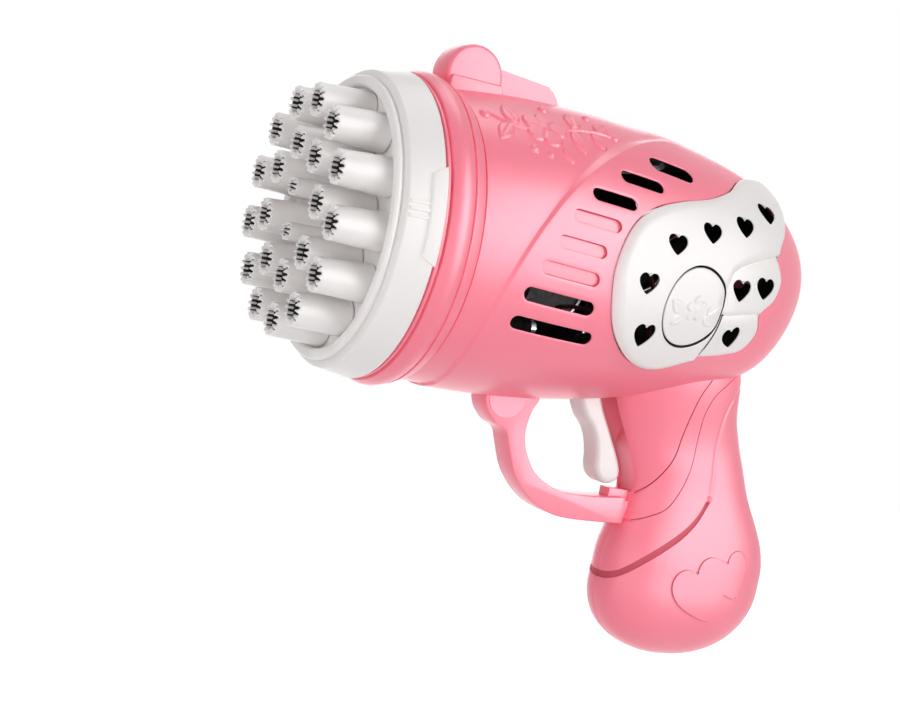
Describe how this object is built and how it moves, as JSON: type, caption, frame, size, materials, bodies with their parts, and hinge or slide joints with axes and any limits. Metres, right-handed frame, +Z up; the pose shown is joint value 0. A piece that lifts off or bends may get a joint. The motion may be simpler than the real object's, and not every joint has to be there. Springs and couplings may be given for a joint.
{
  "type": "bubble blower",
  "caption": "Pink toy bubble blower with a pistol grip, a white nozzle of ribbed bubble tubes, winged vent panels and a trigger that starts its fan.",
  "frame": {"origin": "middle of the hand grip, where the hand closes, on the plane where the two housing halves meet", "axes": "-X along the barrel towards the nozzle, +Z up, +Y towards the side with the battery door"},
  "size_m": [0.2027, 0.1024, 0.1923],
  "materials": {
    "pink_plastic": "glossy pink moulded plastic",
    "white_plastic": "glossy white moulded plastic",
    "dark_plastic": "plain dark moulded plastic",
    "steel": "bright steel",
    "motor_can": "plated steel can",
    "cell_wrap": "plain printed wrap with no marks",
    "wire_rubber": "insulated wire"
  },
  "bodies": {
    "gun": {"housing_left": "pink_plastic", "housing_right": "pink_plastic", "front_bezel": "pink_plastic", "nozzle_collar": "white_plastic", "nozzle_plate": "white_plastic", "bubble_tubes": "white_plastic", "top_crest": "pink_plastic", "wing_panel_left": "white_plastic", "wing_panel_right": "white_plastic", "wing_badge_left": "white_plastic", "wing_badge_right": "white_plastic", "trigger_guard": "pink_plastic", "trigger_pin": "steel", "trigger_spring": "steel", "switch_body": "dark_plastic", "fan_bulkhead": "dark_plastic", "motor_bracket": "dark_plastic", "motor": "motor_can", "battery_tray": "dark_plastic", "battery_cells": "cell_wrap", "battery_contacts": "steel", "housing_screws": "steel", "bracket_screws": "steel", "wiring": "wire_rubber"},
    "trigger": {"trigger": "white_plastic"},
    "plunger": {"switch_plunger": "white_plastic"},
    "fan": {"motor_shaft": "steel", "impeller": "white_plastic"},
    "door": {"battery_door": "pink_plastic", "door_screw": "steel"}
  },
  "joints": [
    {"name": "trigger_pull", "type": "hinge", "parent": "gun", "child": "trigger", "pos_m": [-0.049, 0, 0.029], "axis": [0, -1, 0], "range_deg": [0, 6.5], "stiffness_Nm_per_rad": 0.5, "springref_deg": -8.59, "deforming": ["trigger_spring"]},
    {"name": "plunger_press", "type": "slide", "parent": "gun", "child": "plunger", "axis": [-1, 0, 0], "range_m": [0, 0.0009]},
    {"name": "fan_spin", "type": "hinge", "parent": "gun", "child": "fan", "pos_m": [-0.119, 0, 0.062], "axis": [0.999, 0, 0.0436], "continuous": true},
    {"name": "door_off", "type": "slide", "parent": "gun", "child": "door", "axis": [0, 1, 0], "range_m": [0, 0.03]}
  ],
  "couplings": [
    {"joint": "plunger_press", "follows": "trigger_pull", "m_per_rad": 0.0075}
  ]
}
